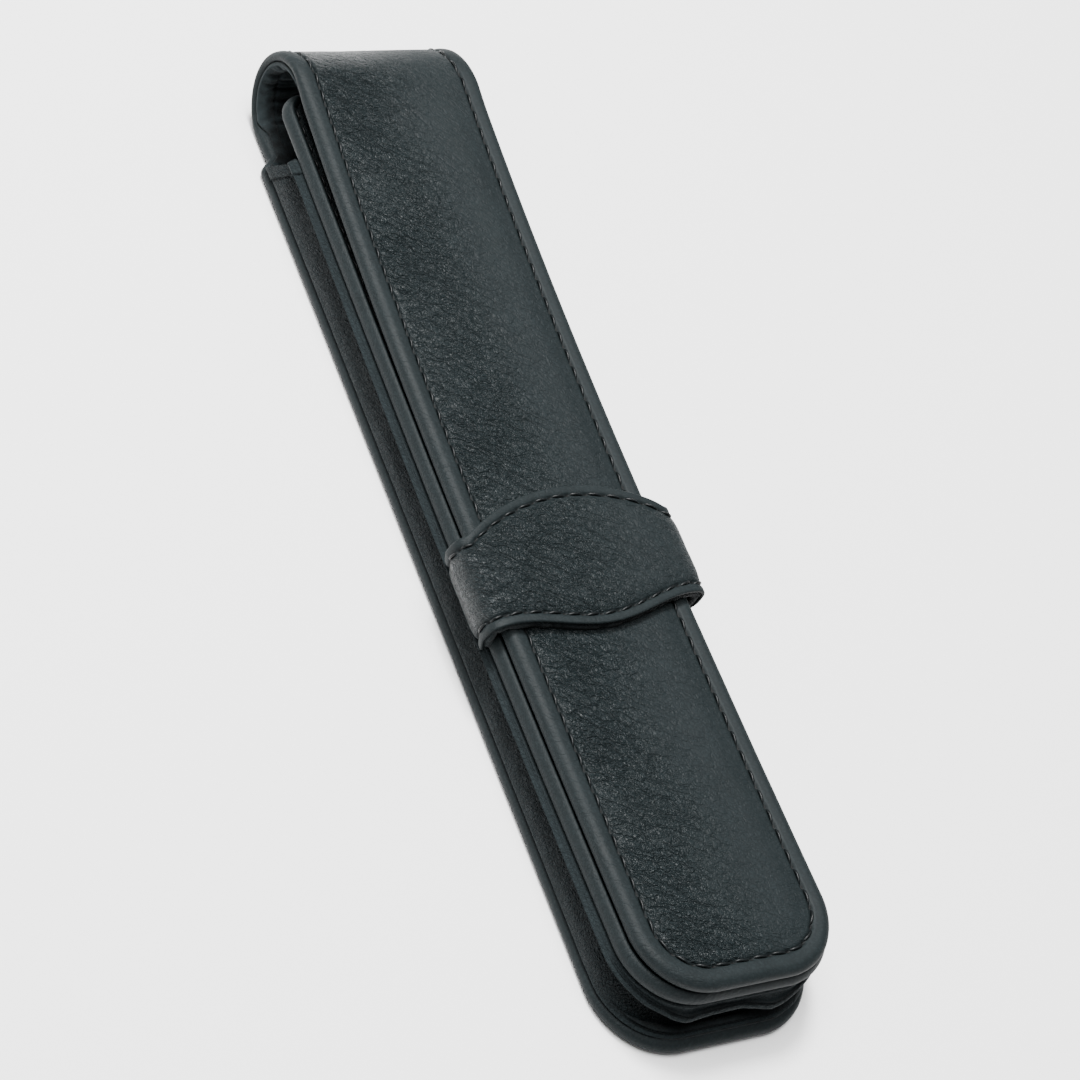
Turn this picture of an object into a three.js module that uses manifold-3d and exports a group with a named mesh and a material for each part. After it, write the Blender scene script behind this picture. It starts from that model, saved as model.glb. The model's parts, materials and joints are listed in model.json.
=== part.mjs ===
// A leather case for one fountain pen: a flat pouch with a gusset round three sides,
// and a long flap that folds over the mouth and tucks under a band across the front.
// The case lies on its back. X runs across it, +Y points to the fold, +Z out of the flap.

import * as THREE from 'three';
import { mergeVertices } from 'three/addons/utils/BufferGeometryUtils.js';
import Module from 'manifold-3d';

// ---- Driving dimensions, in millimetres ----

const CASE_LENGTH = 168;
const BACK_WIDTH = 37;
const FRONT_WIDTH = 35.4;
const FLAP_WIDTH = 33.4;
const FOLD_HEIGHT = 17.4;

const LEATHER = 1.1;
const FILLER = 0.6;
const LINING = 0.5;
const GLUE_GAP = 0.12;
const JOINT_GAP = 0.3;
const PANEL = LEATHER + FILLER + LINING + 2 * GLUE_GAP;
const TURNED_EDGE = 1.2;
const EDGE_CHAMFER = 0.45;

const BACK_CORNER = 11.5;
const FRONT_CORNER = 10.5;
const MOUTH_CORNER = 4.5;
const FLAP_CORNER = 10.5;
const FRONT_SETBACK = 3.2;
const FLAP_SETBACK = 3.6;

const THREAD_WIDTH = 0.5;
const THREAD_HEIGHT = 0.3;
const GROOVE_WIDTH = 0.9;
const GROOVE_DEPTH = 0.5;
const GROOVE_CLEARANCE = 0.1;
const CUT_OVERSHOOT = 0.5;
const FLAP_SEAM_INSET = 3.2;
const PANEL_SEAM_INSET = 2.0;
const STRAP_SEAM_INSET = 1.6;

// ---- Places that follow from them ----

const END_Y = -CASE_LENGTH / 2;
const FOLD_RADIUS = FOLD_HEIGHT / 2;
const FOLD_Y = CASE_LENGTH / 2 - FOLD_RADIUS;
const SHOULDER_Y = 69.5;
const FRONT_END_Y = END_Y + FRONT_SETBACK;
const FRONT_TOP_Y = 76;
const FLAP_END_Y = END_Y + FLAP_SETBACK;
const HEM_BACK_Y = 68.6;
const HEM_FRONT_Y = 64.2;
const HEM_DEPTH = 2.2;

// The fold turns through three equal bends, each about a line on its outer surface.
const FLAP_SLOPE = 6;
const HINGE_HEADINGS = [31, 93, 155];
const FOLD_END_HEADING = 180 + FLAP_SLOPE;
const JOINT_GAP_HEADING = THREE.MathUtils.radToDeg(JOINT_GAP / FOLD_RADIUS);

// The band lies lowest over the flap here, and both ends of the flap rise from it.
const STRAP_Y = -15;
const FLAP_LOW_Z = 13.1;
const FRONT_LOW_Z = 10.4;
const TIP_RISE = 1.0;
const MOUTH_RISE = 1.8;

const STRAP_LEATHER = 0.9;
const STRAP_LINING = 0.6;
const STRAP_HALF_SPAN = 19.8;
const STRAP_FOOT_Z = 8.2;
const STRAP_TOP_Z = 15.3;
const STRAP_SQUARENESS = 7;
const STRAP_SKEW = 1.25;
const STRAP_LINING_INSET = 0.3;
const STRAP_EDGE_HALF = 18;
const STRAP_TOP_Y = -1.4;
const STRAP_TOP_BOW = 5.4;
const STRAP_BOTTOM_Y = -22.0;
const STRAP_WAVE_DEPTH = 2.6;
const STRAP_WAVE_HALF = 17;

const wasm = await Module();
wasm.setup();

const object = new THREE.Group();

// ---- Closed solids from lists of equal cross-sections ----

const radians = THREE.MathUtils.degToRad;

function signedVolume(points, triangles) {
  const volume = triangles.reduce((sum, [a, b, c]) => {
    return sum + points[a].dot(points[b].clone().cross(points[c]));
  }, 0);
  return volume / 6;
}

// Joins equal rings of points into one closed body, capped at both ends.
function loft(rings) {
  const count = rings[0].length;
  const points = rings.flat();
  const triangles = [];
  for (let i = 0; i + 1 < rings.length; i += 1) {
    for (let j = 0; j < count; j += 1) {
      const a = i * count + j;
      const b = i * count + (j + 1) % count;
      triangles.push([a, b, b + count], [a, b + count, a + count]);
    }
  }
  const cap = (ring, offset, flip) => {
    const normal = ringNormal(ring);
    const side = ring[1].clone().sub(ring[0]).normalize();
    const up = normal.clone().cross(side);
    const flat = ring.map((p) => new THREE.Vector2(p.dot(side), p.dot(up)));
    for (const [a, b, c] of THREE.ShapeUtils.triangulateShape(flat, [])) {
      triangles.push(flip ? [c + offset, b + offset, a + offset] : [a + offset, b + offset, c + offset]);
    }
  };
  cap(rings[0], 0, true);
  cap(rings.at(-1), (rings.length - 1) * count, false);
  if (signedVolume(points, triangles) < 0) {
    triangles.forEach((triangle) => triangle.reverse());
  }
  const geometry = new THREE.BufferGeometry();
  geometry.setAttribute('position', new THREE.Float32BufferAttribute(points.flatMap((p) => p.toArray()), 3));
  geometry.setIndex(triangles.flat());
  return geometry;
}

function ringNormal(ring) {
  const normal = new THREE.Vector3();
  ring.forEach((p, i) => normal.add(p.clone().cross(ring[(i + 1) % ring.length])));
  return normal.normalize();
}

function toManifold(geometry) {
  const merged = mergeVertices(geometry, 1e-5);
  return new wasm.Manifold(new wasm.Mesh({
    numProp: 3,
    vertProperties: new Float32Array(merged.attributes.position.array),
    triVerts: new Uint32Array(merged.index.array),
  }));
}

function subtract(geometry, ...cutters) {
  const solid = cutters.reduce((rest, cutter) => rest.subtract(toManifold(cutter)), toManifold(geometry));
  const mesh = solid.getMesh();
  const result = new THREE.BufferGeometry();
  result.setAttribute('position', new THREE.Float32BufferAttribute(mesh.vertProperties, 3));
  result.setIndex([...mesh.triVerts]);
  return result;
}

function addMesh(name, geometry, color, roughness) {
  const shaded = geometry.toNonIndexed();
  shaded.computeVertexNormals();
  const mesh = new THREE.Mesh(shaded, new THREE.MeshStandardMaterial({ color, roughness, metalness: 0 }));
  mesh.name = name;
  object.add(mesh);
}

const leather = (name, geometry) => addMesh(name, geometry, 0x2d3536, 0.62);
const lining = (name, geometry) => addMesh(name, geometry, 0x16191a, 0.95);
const thread = (name, geometry) => addMesh(name, geometry, 0x23292b, 0.7);
const board = (name, geometry) => addMesh(name, geometry, 0x6b6257, 0.9);

// ---- The surfaces that the layers follow ----

function flapHeight(y) {
  if (y < STRAP_Y) {
    return FLAP_LOW_Z + TIP_RISE * ((STRAP_Y - y) / (STRAP_Y - FLAP_END_Y)) ** 2;
  }
  const foldEndZ = FOLD_RADIUS + FOLD_RADIUS * Math.cos(radians(FLAP_SLOPE));
  const foldEndY = FOLD_Y - FOLD_RADIUS * Math.sin(radians(FLAP_SLOPE));
  const rise = foldEndZ - FLAP_LOW_Z;
  const run = foldEndY - STRAP_Y;
  const power = Math.tan(radians(FLAP_SLOPE)) * run / rise;
  return FLAP_LOW_Z + rise * Math.min(1, (y - STRAP_Y) / run) ** power;
}

function frontHeight(y) {
  if (y < STRAP_Y) {
    return FRONT_LOW_Z + TIP_RISE * ((STRAP_Y - y) / (STRAP_Y - FLAP_END_Y)) ** 2;
  }
  return FRONT_LOW_Z + MOUTH_RISE * ((y - STRAP_Y) / (FRONT_TOP_Y - STRAP_Y)) ** 1.5;
}

// A station is a place along a layer: a point of the outer surface, the outward normal
// there, and the half width of the layer.
function surfaceStation(height, y, halfWidth) {
  const step = 0.01;
  const slope = (height(y + step) - height(y - step)) / (2 * step);
  const normal = new THREE.Vector3(0, -slope, 1).normalize();
  return { point: new THREE.Vector3(0, y, height(y)), normal, halfWidth };
}

function foldStation(heading, halfWidth) {
  const angle = radians(heading);
  const normal = new THREE.Vector3(0, Math.sin(angle), -Math.cos(angle));
  const point = new THREE.Vector3(0, FOLD_Y, FOLD_RADIUS).addScaledVector(normal, FOLD_RADIUS);
  return { point, normal, halfWidth };
}

// Places along one side of an outline, closer together round a corner.
function outline({ from, to, halfWidth, fromCorner = 0, toCorner = 0, spans = 6 }) {
  const cornerSteps = 6;
  const list = [];
  const corner = (radius, angle) => ({
    reach: radius * (1 - Math.cos(angle)),
    halfWidth: halfWidth - radius * (1 - Math.sin(angle)),
  });
  for (let i = 0; i < cornerSteps && fromCorner > 0; i += 1) {
    const { reach, halfWidth: half } = corner(fromCorner, (i / cornerSteps) * Math.PI / 2);
    list.push({ y: from + reach, halfWidth: half });
  }
  const start = from + fromCorner;
  const end = to - toCorner;
  for (let i = 0; i <= spans; i += 1) {
    list.push({ y: start + (end - start) * i / spans, halfWidth });
  }
  for (let i = cornerSteps - 1; i >= 0 && toCorner > 0; i -= 1) {
    const { reach, halfWidth: half } = corner(toCorner, (i / cornerSteps) * Math.PI / 2);
    list.push({ y: to - reach, halfWidth: half });
  }
  return list;
}

// A layer between two depths under the outer surface, with its outer edges eased.
function layer(stations, top, bottom, chamfer = 0) {
  return loft(stations.map(({ point, normal, halfWidth }) => {
    const at = (x, depth) => point.clone().addScaledVector(normal, -depth).setX(x);
    return [
      at(-halfWidth + chamfer, top), at(halfWidth - chamfer, top), at(halfWidth, top + chamfer),
      at(halfWidth, bottom), at(-halfWidth, bottom), at(-halfWidth, top + chamfer),
    ].filter((p, i) => chamfer > 0 || (i !== 2 && i !== 5));
  }));
}

// A thread or the groove for it: a flat ribbon sunk between two depths along a seam.
function ribbon(seam, width, top, bottom) {
  return loft(seam.map(({ point, normal }, i) => {
    const before = seam[Math.max(i - 1, 0)].point;
    const after = seam[Math.min(i + 1, seam.length - 1)].point;
    const side = after.clone().sub(before).cross(normal).normalize();
    const at = (sideways, depth) => {
      return point.clone().addScaledVector(side, sideways).addScaledVector(normal, -depth);
    };
    return [at(-width / 2, top), at(width / 2, top), at(width / 2, bottom), at(-width / 2, bottom)];
  }));
}

const seamThread = (seam) => {
  const bottom = GROOVE_DEPTH - GROOVE_CLEARANCE;
  return ribbon(seam, THREAD_WIDTH, bottom - THREAD_HEIGHT, bottom);
};
const seamGroove = (seam) => ribbon(seam, GROOVE_WIDTH, -CUT_OVERSHOOT, GROOVE_DEPTH);

// A seam runs down the left side of a panel, round its end and up the right side.
function panelSeam(stations) {
  const inward = stations.filter((station) => station.halfWidth > 0.5);
  const side = (sign) => ({ point, normal, halfWidth }) => {
    return { point: point.clone().setX(sign * halfWidth), normal };
  };
  return [...inward.map(side(-1)).reverse(), ...inward.map(side(1))];
}

// ---- Back panel ----

function backStations(inset, reach = 0) {
  const sides = outline({
    from: END_Y + inset, to: SHOULDER_Y, halfWidth: BACK_WIDTH / 2 - inset, fromCorner: BACK_CORNER - inset,
  });
  sides.push({ y: SHOULDER_Y + 2, halfWidth: FLAP_WIDTH / 2 - inset });
  sides.push({ y: FOLD_Y - JOINT_GAP / 2 + reach, halfWidth: FLAP_WIDTH / 2 - inset });
  return sides.map(({ y, halfWidth }) => {
    return { point: new THREE.Vector3(0, y, 0), normal: new THREE.Vector3(0, 0, -1), halfWidth };
  });
}

function backSeam() {
  const inset = PANEL_SEAM_INSET;
  const sides = outline({
    from: END_Y + inset,
    to: SHOULDER_Y - 2,
    halfWidth: BACK_WIDTH / 2 - inset,
    fromCorner: BACK_CORNER - inset,
  });
  return panelSeam(sides.map(({ y, halfWidth }) => {
    return { point: new THREE.Vector3(0, y, 0), normal: new THREE.Vector3(0, 0, -1), halfWidth };
  }));
}

const fillerTop = LEATHER + GLUE_GAP;
const fillerBottom = fillerTop + FILLER;
const liningTop = fillerBottom + GLUE_GAP;
const pocketInset = TURNED_EDGE;
const pocketBottom = PANEL + CUT_OVERSHOOT;
const filling = TURNED_EDGE + GLUE_GAP;

leather('back_outer', subtract(
  layer(backStations(0), 0, PANEL, EDGE_CHAMFER),
  layer(backStations(pocketInset, JOINT_GAP), LEATHER, pocketBottom),
  seamGroove(backSeam()),
));
board('back_board', layer(backStations(filling), fillerTop, fillerBottom));
lining('back_lining', layer(backStations(filling), liningTop, PANEL));
thread('back_stitching', seamThread(backSeam()));

// ---- Fold: three strips of leather and lining between the back and the flap ----

function foldStrip(startHeading, endHeading, inset, top, bottom, chamfer, reach = 0) {
  const margin = JOINT_GAP_HEADING / 2 - reach;
  const steps = 6;
  const stations = [];
  for (let i = 0; i <= steps; i += 1) {
    const heading = THREE.MathUtils.lerp(startHeading + margin, endHeading - margin, i / steps);
    stations.push(foldStation(heading, FLAP_WIDTH / 2 - inset));
  }
  return layer(stations, top, bottom, chamfer);
}

[0, ...HINGE_HEADINGS.slice(0, 2)].forEach((start, i) => {
  const end = HINGE_HEADINGS[i];
  const pocketReach = JOINT_GAP_HEADING;
  leather(`fold_outer_${i + 1}`, subtract(
    foldStrip(start, end, 0, 0, PANEL, EDGE_CHAMFER),
    foldStrip(start, end, pocketInset, LEATHER, pocketBottom, 0, pocketReach),
  ));
  lining(`fold_lining_${i + 1}`, foldStrip(start, end, filling, fillerTop, PANEL, 0));
});

// ---- Flap ----

function flapStations(inset, reach = 0) {
  const foldSteps = 3;
  const foldStart = HINGE_HEADINGS[2] + JOINT_GAP_HEADING / 2 - reach;
  const stations = [];
  for (let i = 0; i < foldSteps; i += 1) {
    const heading = THREE.MathUtils.lerp(foldStart, FOLD_END_HEADING, i / foldSteps);
    stations.push(foldStation(heading, FLAP_WIDTH / 2 - inset));
  }
  const top = FOLD_Y - FOLD_RADIUS * Math.sin(radians(FLAP_SLOPE));
  const sides = outline({
    from: FLAP_END_Y + inset, to: top, halfWidth: FLAP_WIDTH / 2 - inset, fromCorner: FLAP_CORNER - inset,
    spans: 14,
  });
  sides.reverse().forEach(({ y, halfWidth }) => stations.push(surfaceStation(flapHeight, y, halfWidth)));
  return stations;
}

const flapSeam = panelSeam(flapStations(FLAP_SEAM_INSET).reverse());

leather('flap_outer', subtract(
  layer(flapStations(0), 0, PANEL, EDGE_CHAMFER),
  layer(flapStations(pocketInset, JOINT_GAP_HEADING), LEATHER, pocketBottom),
  seamGroove(flapSeam),
));
board('flap_filler', layer(flapStations(filling), fillerTop, fillerBottom));
lining('flap_lining', layer(flapStations(filling), liningTop, PANEL));
thread('flap_stitching', seamThread(flapSeam));

// ---- Front panel ----

function frontStations(inset) {
  return outline({
    from: FRONT_END_Y + inset, to: FRONT_TOP_Y - inset, halfWidth: FRONT_WIDTH / 2 - inset,
    fromCorner: FRONT_CORNER - inset, toCorner: MOUTH_CORNER - inset, spans: 12,
  }).map(({ y, halfWidth }) => surfaceStation(frontHeight, y, halfWidth));
}

const frontSeam = panelSeam(frontStations(PANEL_SEAM_INSET));

leather('front_outer', subtract(
  layer(frontStations(0), 0, PANEL, EDGE_CHAMFER),
  layer(frontStations(pocketInset), LEATHER, pocketBottom),
  seamGroove(frontSeam),
));
board('front_board', layer(frontStations(filling), fillerTop, fillerBottom));
lining('front_lining', layer(frontStations(filling), liningTop, PANEL));
thread('front_stitching', seamThread(frontSeam));

// ---- Gusset: one strip round the left side, the end and the right side ----

// The strip's section, as a distance out from the panel edges and a share of the height.
const GUSSET_SECTION = [
  { out: -0.2, share: 0 },
  { out: -0.7, share: 0.3 },
  { out: -1.9, share: 0.62 },
  { out: 0.5, share: 0.86 },
  { out: -0.3, share: 1 },
];
const GUSSET_THICKNESS = 0.8;
const GUSSET_LINING = 0.4;
const HEM_GAP = 0.2;

// Half of the panel edge: straight up the side, then round the corner to the middle.
function edgePoint(halfWidth, endY, corner, topY, place) {
  if (place.part === 'side') {
    const y = THREE.MathUtils.lerp(topY, endY + corner, place.t);
    return { x: halfWidth, y, outX: 1, outY: 0 };
  }
  if (place.part === 'corner') {
    const angle = place.t * Math.PI / 2;
    const [outX, outY] = [Math.cos(angle), -Math.sin(angle)];
    return { x: halfWidth - corner + corner * outX, y: endY + corner + corner * outY, outX, outY };
  }
  return { x: THREE.MathUtils.lerp(halfWidth - corner, 0, place.t), y: endY, outX: 0, outY: -1 };
}

function edgePlaces(sideSteps) {
  const places = [];
  const add = (part, steps, first) => {
    for (let i = first; i <= steps; i += 1) {
      places.push({ part, t: i / steps });
    }
  };
  add('side', sideSteps, 0);
  add('corner', 6, 1);
  add('end', 1, 1);
  return places;
}

function gussetRing(sign, place, topBack, topFront, inner, outer) {
  const at = ({ out, share }, depth) => {
    const topY = THREE.MathUtils.lerp(topBack, topFront, share);
    const back = edgePoint(BACK_WIDTH / 2, END_Y, BACK_CORNER, topY, place);
    const front = edgePoint(FRONT_WIDTH / 2, FRONT_END_Y, FRONT_CORNER, topY, place);
    const outX = back.outX * (out - depth);
    const outY = back.outY * (out - depth);
    const y = THREE.MathUtils.lerp(back.y, front.y, share) + outY;
    const x = THREE.MathUtils.lerp(back.x, front.x, share) + outX;
    const low = PANEL + GLUE_GAP;
    const high = frontHeight(y) - PANEL - GLUE_GAP;
    return new THREE.Vector3(sign * x, y, THREE.MathUtils.lerp(low, high, share));
  };
  const outside = GUSSET_SECTION.map((corner) => at(corner, outer));
  const inside = GUSSET_SECTION.map((corner) => at(corner, inner)).reverse();
  return [...outside, ...inside];
}

function gussetStrip(inner, outer) {
  const ring = (sign) => (place) => {
    return gussetRing(sign, place, HEM_BACK_Y - HEM_DEPTH, HEM_FRONT_Y - HEM_DEPTH, inner, outer);
  };
  const places = edgePlaces(5);
  const left = places.map(ring(-1));
  const right = places.slice(0, -1).map(ring(1)).reverse();
  return loft([...left, ...right]);
}

leather('gusset_outer', gussetStrip(GUSSET_THICKNESS, 0));
const gussetLiningTop = GUSSET_THICKNESS + GLUE_GAP;
lining('gusset_lining', gussetStrip(gussetLiningTop + GUSSET_LINING, gussetLiningTop));

// The strip's ends are turned in at the mouth and make a thicker hem.
function gussetHem(sign) {
  const start = { part: 'side', t: 0 };
  const inner = gussetLiningTop + GUSSET_LINING;
  const turnIn = HEM_DEPTH - HEM_GAP;
  const bottom = gussetRing(sign, start, HEM_BACK_Y - turnIn, HEM_FRONT_Y - turnIn, inner, 0);
  const top = gussetRing(sign, start, HEM_BACK_Y, HEM_FRONT_Y, inner, 0);
  return loft([bottom, top]);
}

leather('gusset_hem_left', gussetHem(-1));
leather('gusset_hem_right', gussetHem(1));

// ---- Band across the front ----

// The band's edges, as places along the case at a distance across it. The upper one is bowed, and the
// lower one has a wave.
function strapTopY(x) {
  const share = x / STRAP_EDGE_HALF;
  return STRAP_TOP_Y - STRAP_TOP_BOW * share ** 2 + STRAP_SKEW * share;
}

function strapBottomY(x) {
  const wave = Math.abs(x) < STRAP_WAVE_HALF ? Math.cos(Math.PI * x / STRAP_WAVE_HALF / 2) ** 2 : 0;
  return STRAP_BOTTOM_Y - STRAP_WAVE_DEPTH * wave + STRAP_SKEW * x / STRAP_EDGE_HALF;
}

// The band's section is a flattened arch that stands on the sides of the front panel.
function strapPlaces() {
  const turns = 28;
  const rise = STRAP_TOP_Z - STRAP_FOOT_Z;
  const roundness = 2 / STRAP_SQUARENESS;
  const places = [];
  for (let i = 0; i <= turns; i += 1) {
    const angle = Math.PI * (1 - i / turns);
    const across = Math.cos(angle);
    const up = Math.max(0, Math.sin(angle));
    const x = STRAP_HALF_SPAN * Math.sign(across) * Math.abs(across) ** roundness;
    places.push(new THREE.Vector3(x, 0, STRAP_FOOT_Z + rise * up ** roundness));
  }
  return places.map((point, i) => {
    const along = places[Math.min(i + 1, turns)].clone().sub(places[Math.max(i - 1, 0)]);
    return { point, normal: new THREE.Vector3(-along.z, 0, along.x).normalize() };
  });
}

function strapLayer(top, bottom, inset) {
  return loft(strapPlaces().map(({ point, normal }) => {
    const x = THREE.MathUtils.clamp(point.x, -STRAP_EDGE_HALF, STRAP_EDGE_HALF);
    const at = (y, depth) => point.clone().addScaledVector(normal, -depth).setY(y);
    const [high, low] = [strapTopY(x) - inset, strapBottomY(x) + inset];
    return [at(low, top), at(high, top), at(high, bottom), at(low, bottom)];
  }));
}

function strapSeam(edge, inset) {
  return strapPlaces().slice(1, -1).map(({ point, normal }) => {
    const x = THREE.MathUtils.clamp(point.x, -STRAP_EDGE_HALF, STRAP_EDGE_HALF);
    return { point: point.clone().setY(edge(x) + inset), normal };
  });
}

const upperSeam = strapSeam(strapTopY, -STRAP_SEAM_INSET);
const lowerSeam = strapSeam(strapBottomY, STRAP_SEAM_INSET);

leather('strap_outer', subtract(
  strapLayer(0, STRAP_LEATHER, 0),
  seamGroove(upperSeam),
  seamGroove(lowerSeam),
));
const strapLiningTop = STRAP_LEATHER + GLUE_GAP;
lining('strap_lining', strapLayer(strapLiningTop, strapLiningTop + STRAP_LINING, STRAP_LINING_INSET));
thread('strap_stitching_upper', seamThread(upperSeam));
thread('strap_stitching_lower', seamThread(lowerSeam));

export default object;
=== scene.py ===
"""A leather case for one fountain pen, closed, lying on its back on a pale floor.

The hide goes from the back panel round the fold into the flap as one sheet. It is modelled flat and laid on
its surface. Lengths are in millimetres until a mesh is made.
"""

import json
import math

import bpy
import numpy as np
from mathutils import Matrix, Vector


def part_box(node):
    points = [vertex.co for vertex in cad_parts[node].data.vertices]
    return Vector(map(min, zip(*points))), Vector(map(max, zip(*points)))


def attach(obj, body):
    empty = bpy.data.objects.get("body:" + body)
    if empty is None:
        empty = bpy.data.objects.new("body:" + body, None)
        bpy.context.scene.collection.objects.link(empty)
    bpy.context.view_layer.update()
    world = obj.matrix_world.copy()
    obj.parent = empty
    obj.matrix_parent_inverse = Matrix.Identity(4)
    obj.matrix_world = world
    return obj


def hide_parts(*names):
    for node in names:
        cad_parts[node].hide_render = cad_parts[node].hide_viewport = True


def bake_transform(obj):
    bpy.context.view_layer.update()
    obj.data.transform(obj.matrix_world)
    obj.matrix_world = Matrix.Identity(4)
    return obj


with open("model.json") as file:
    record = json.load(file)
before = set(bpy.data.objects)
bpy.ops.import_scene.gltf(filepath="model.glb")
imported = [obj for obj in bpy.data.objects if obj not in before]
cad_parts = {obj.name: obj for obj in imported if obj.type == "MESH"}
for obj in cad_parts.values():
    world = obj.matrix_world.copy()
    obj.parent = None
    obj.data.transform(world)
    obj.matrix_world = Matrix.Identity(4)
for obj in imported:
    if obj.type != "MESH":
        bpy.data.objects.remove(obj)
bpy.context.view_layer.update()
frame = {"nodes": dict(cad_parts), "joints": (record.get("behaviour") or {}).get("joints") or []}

MM = 0.001


def box_mm(node):
    low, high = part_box(node)
    return np.array(low) / MM, np.array(high) / MM


# ---- Sizes from the frame ----

JOINT_GAP = 0.3
# How far the soft fold hangs out past its hinges, on the left and on the right.
FOLD_SLACK = (0.6, 3.2)
# How far round the fold the first hinge is, and where the three bends begin and end, in degrees.
FIRST_HINGE_HEADING = 31
BEND_HEADINGS = (0, 62, 124, 186)
FLAP_SLOPE = math.radians(6)

FOLD_RADIUS = frame["joints"][0]["pos_m"][2] / MM / (1 - math.cos(math.radians(FIRST_HINGE_HEADING)))
(_, END_Y, _), (BACK_HALF, back_top_y, _) = box_mm("back_outer")
(_, FRONT_END_Y, _), (FRONT_HALF, FRONT_TOP_Y, _) = box_mm("front_outer")
(_, FLAP_END_Y, _), (FLAP_HALF, _, _) = box_mm("flap_outer")
(_, _, STRAP_FOOT_Z), (STRAP_HALF_SPAN, _, STRAP_TOP_Z) = box_mm("strap_outer")
MOUTH_BACK_Y = box_mm("gusset_hem_left")[1][1]
FOLD_Y = back_top_y + JOINT_GAP / 2

# ---- Sizes of the leather work ----

# How thick a panel is with its leather, board and lining.
PANEL = 2.44
STITCH_PITCH = 3.2
ROW_STEP = STITCH_PITCH / 8
THREAD_RADIUS = 0.22
# How deep the threads of a seam lie in their channel.
SEAM_DEPTH = 0.12
BACK_CORNER = 11.5
FRONT_CORNER = 10.5
MOUTH_CORNER = 4.5
FLAP_CORNER = 10.5
SHOULDER_Y = 69.5
FLAP_SEAM = 3.2
PANEL_SEAM = 2.0
STRAP_SEAM = 1.6
# Flap and front panel are lowest under the strap and rise from there toward the tip and the mouth.
STRAP_Y = -15
FLAP_LOW_Z = 13.1
FRONT_LOW_Z = 10.4
TIP_RISE = 1.0
MOUTH_RISE = 1.8


# ---- Noise, for creases and rough edges ----

NOISE_SPAN = 64


def value_noise(x, y, seed):
    """Smooth noise from 0 to 1 with one hill or dip to each unit of x and y."""
    table = np.random.RandomState(seed).rand(NOISE_SPAN, NOISE_SPAN)
    x, y = np.broadcast_arrays(np.asarray(x, float), np.asarray(y, float))
    xi, yi = np.floor(x).astype(int), np.floor(y).astype(int)
    fx, fy = x - xi, y - yi
    fx, fy = fx * fx * (3 - 2 * fx), fy * fy * (3 - 2 * fy)
    corner = lambda i, j: table[(xi + i) % NOISE_SPAN, (yi + j) % NOISE_SPAN]
    low = corner(0, 0) * (1 - fx) + corner(1, 0) * fx
    high = corner(0, 1) * (1 - fx) + corner(1, 1) * fx
    return low * (1 - fy) + high * fy


def creases(x, y, seed):
    """Short wavy wrinkles of soft leather, from 0 in a crease to 1 between them."""
    bend = 2.4 * value_noise(x / 5, y / 5, seed)
    coarse = 1 - np.abs(2 * value_noise(x / 2.6 + bend, y / 1.3 - bend, seed + 1) - 1)
    fine = 1 - np.abs(2 * value_noise(x / 1.3 - bend, y / 0.8 + bend, seed + 2) - 1)
    return 1 - (0.65 * coarse ** 3 + 0.35 * fine ** 3)


def smooth(value, low, high):
    """0 up to low, 1 from high on, and a smooth rise between them."""
    t = np.clip((np.asarray(value, float) - low) / (high - low), 0, 1)
    return t * t * (3 - 2 * t)


# ---- The surfaces that the sheets are laid on ----

FOLD_END_S = FOLD_RADIUS * (math.pi + FLAP_SLOPE)
FOLD_END_Y = FOLD_Y - FOLD_RADIUS * math.sin(FLAP_SLOPE)
FOLD_END_Z = FOLD_RADIUS * (1 + math.cos(FLAP_SLOPE))
HIDE_LOW_S = END_Y - FOLD_Y
HIDE_HIGH_S = FOLD_END_S + FOLD_END_Y - FLAP_END_Y


def flap_height(y):
    rise, run = FOLD_END_Z - FLAP_LOW_Z, FOLD_END_Y - STRAP_Y
    power = math.tan(FLAP_SLOPE) * run / rise
    toward_fold = np.clip((y - STRAP_Y) / run, 0, 1) ** power
    toward_tip = np.clip((STRAP_Y - y) / (STRAP_Y - FLAP_END_Y), 0, 2) ** 2
    return FLAP_LOW_Z + rise * toward_fold + TIP_RISE * toward_tip


def front_height(y):
    toward_mouth = np.clip((y - STRAP_Y) / (FRONT_TOP_Y - STRAP_Y), 0, 2) ** 1.5
    toward_end = np.clip((STRAP_Y - y) / (STRAP_Y - FLAP_END_Y), 0, 2) ** 2
    return FRONT_LOW_Z + MOUTH_RISE * toward_mouth + TIP_RISE * toward_end


def on_surface(x, y, z, out_y, out_z, depth):
    """Points at a depth below a surface that faces out_y and out_z."""
    return np.stack(np.broadcast_arrays(x, y - out_y * depth, z - out_z * depth), axis=-1)


def slope_normal(height, y):
    """The direction that a surface with the given height at each y faces."""
    step = 0.01
    slope = (height(y + step) - height(y - step)) / (2 * step)
    length = np.sqrt(1 + slope ** 2)
    return -slope / length, 1 / length


def lay_hide(x, s, depth):
    """A point of the hide: s runs from the back panel (below 0) round the fold to the flap's tip."""
    s = np.asarray(s, float)
    heading = np.clip(s / FOLD_RADIUS, 0, math.pi + FLAP_SLOPE)
    slack = np.interp(x / FLAP_HALF, (-1, 1), FOLD_SLACK)
    y = FOLD_Y + (FOLD_RADIUS + slack) * np.maximum(np.sin(heading), 0) + np.minimum(s, 0)
    y = y + FOLD_RADIUS * np.minimum(np.sin(heading), 0)
    z = FOLD_RADIUS * (1 - np.cos(heading))
    out_y, out_z = np.sin(heading), -np.cos(heading)
    past = s > FOLD_END_S
    flap_y = FOLD_END_Y - (s - FOLD_END_S)
    slope_y, slope_z = slope_normal(flap_height, flap_y)
    y, z = np.where(past, flap_y, y), np.where(past, flap_height(flap_y), z)
    out_y, out_z = np.where(past, slope_y, out_y), np.where(past, slope_z, out_z)
    return on_surface(x, y, z, out_y, out_z, depth)


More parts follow.
